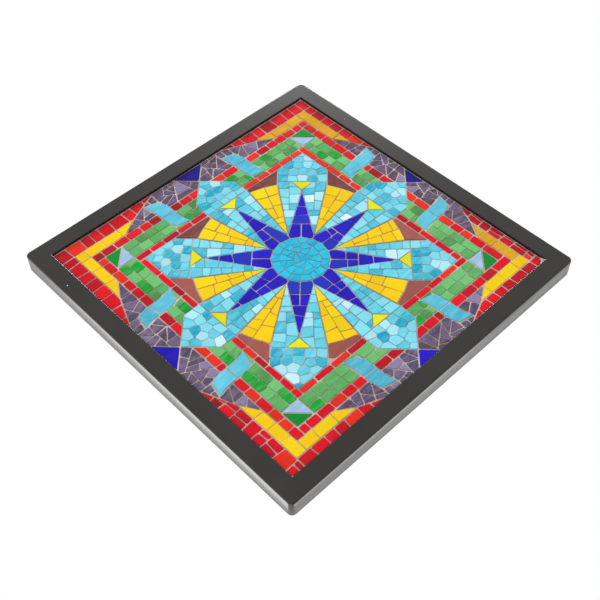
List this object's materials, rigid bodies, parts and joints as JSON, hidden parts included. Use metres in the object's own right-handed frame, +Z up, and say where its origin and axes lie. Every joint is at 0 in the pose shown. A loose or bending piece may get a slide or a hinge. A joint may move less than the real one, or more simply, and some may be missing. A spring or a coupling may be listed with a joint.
{
  "type": "mosaic wall panel",
  "caption": "Square glass mosaic wall panel: an eight-rayed star with petals and banded corners, set in grout in a flat dark painted wooden frame.",
  "frame": {"origin": "centre of the backing board's flat back face, where the panel meets the wall", "axes": "+X to the right and +Z up as seen from the front, +Y into the wall, the glass faces -Y"},
  "size_m": [0.4, 0.022, 0.4],
  "materials": {
    "frame_paint": "satin near-black paint on smooth wood",
    "board": "brown-black stained fibreboard, matt",
    "grout": "pinkish grey cement grout, matt and slightly rough",
    "red_glass": "opaque red stained glass, glossy, some tiles orange-red",
    "yellow_glass": "opaque yellow stained glass, glossy",
    "green_glass": "streaky green stained glass, glossy",
    "blue_glass": "opaque cobalt blue stained glass, glossy",
    "cyan_glass": "streaky opalescent cyan stained glass, glossy",
    "turquoise_glass": "turquoise stained glass, glossy",
    "purple_glass": "smoky purple stained glass with pale streaks, glossy"
  },
  "bodies": {
    "root": {"frame": "frame_paint", "backing_board": "board", "grout_bed": "grout", "centre_disc": "turquoise_glass", "star_rays": "blue_glass", "border_upper_right": "red_glass", "yellow_upper_right": "yellow_glass", "outer_red_upper_right": "red_glass", "inner_red_upper_right": "red_glass", "border_upper_left": "red_glass", "yellow_upper_left": "yellow_glass", "outer_red_upper_left": "red_glass", "inner_red_upper_left": "red_glass", "border_lower_left": "red_glass", "yellow_lower_left": "yellow_glass", "outer_red_lower_left": "red_glass", "inner_red_lower_left": "red_glass", "border_lower_right": "red_glass", "yellow_lower_right": "yellow_glass", "outer_red_lower_right": "red_glass", "inner_red_lower_right": "red_glass", "side_right": "purple_glass", "side_top": "purple_glass", "side_left": "purple_glass", "side_bottom": "purple_glass", "green_1": "green_glass", "ribbon_1": "turquoise_glass", "wedge_1": "yellow_glass", "green_2": "green_glass", "ribbon_2": "turquoise_glass", "wedge_2": "yellow_glass", "green_3": "green_glass", "ribbon_3": "turquoise_glass", "wedge_3": "yellow_glass", "green_4": "green_glass", "ribbon_4": "turquoise_glass", "wedge_4": "yellow_glass", "green_5": "green_glass", "ribbon_5": "turquoise_glass", "wedge_5": "yellow_glass", "green_6": "green_glass", "ribbon_6": "turquoise_glass", "wedge_6": "yellow_glass", "green_7": "green_glass", "ribbon_7": "turquoise_glass", "wedge_7": "yellow_glass", "green_8": "green_glass", "ribbon_8": "turquoise_glass", "wedge_8": "yellow_glass", "petal_east": "cyan_glass", "petal_north_east": "cyan_glass", "petal_north": "cyan_glass", "petal_north_west": "cyan_glass", "petal_west": "cyan_glass", "petal_south_west": "cyan_glass", "petal_south": "cyan_glass", "petal_south_east": "cyan_glass"}
  },
  "joints": []
}
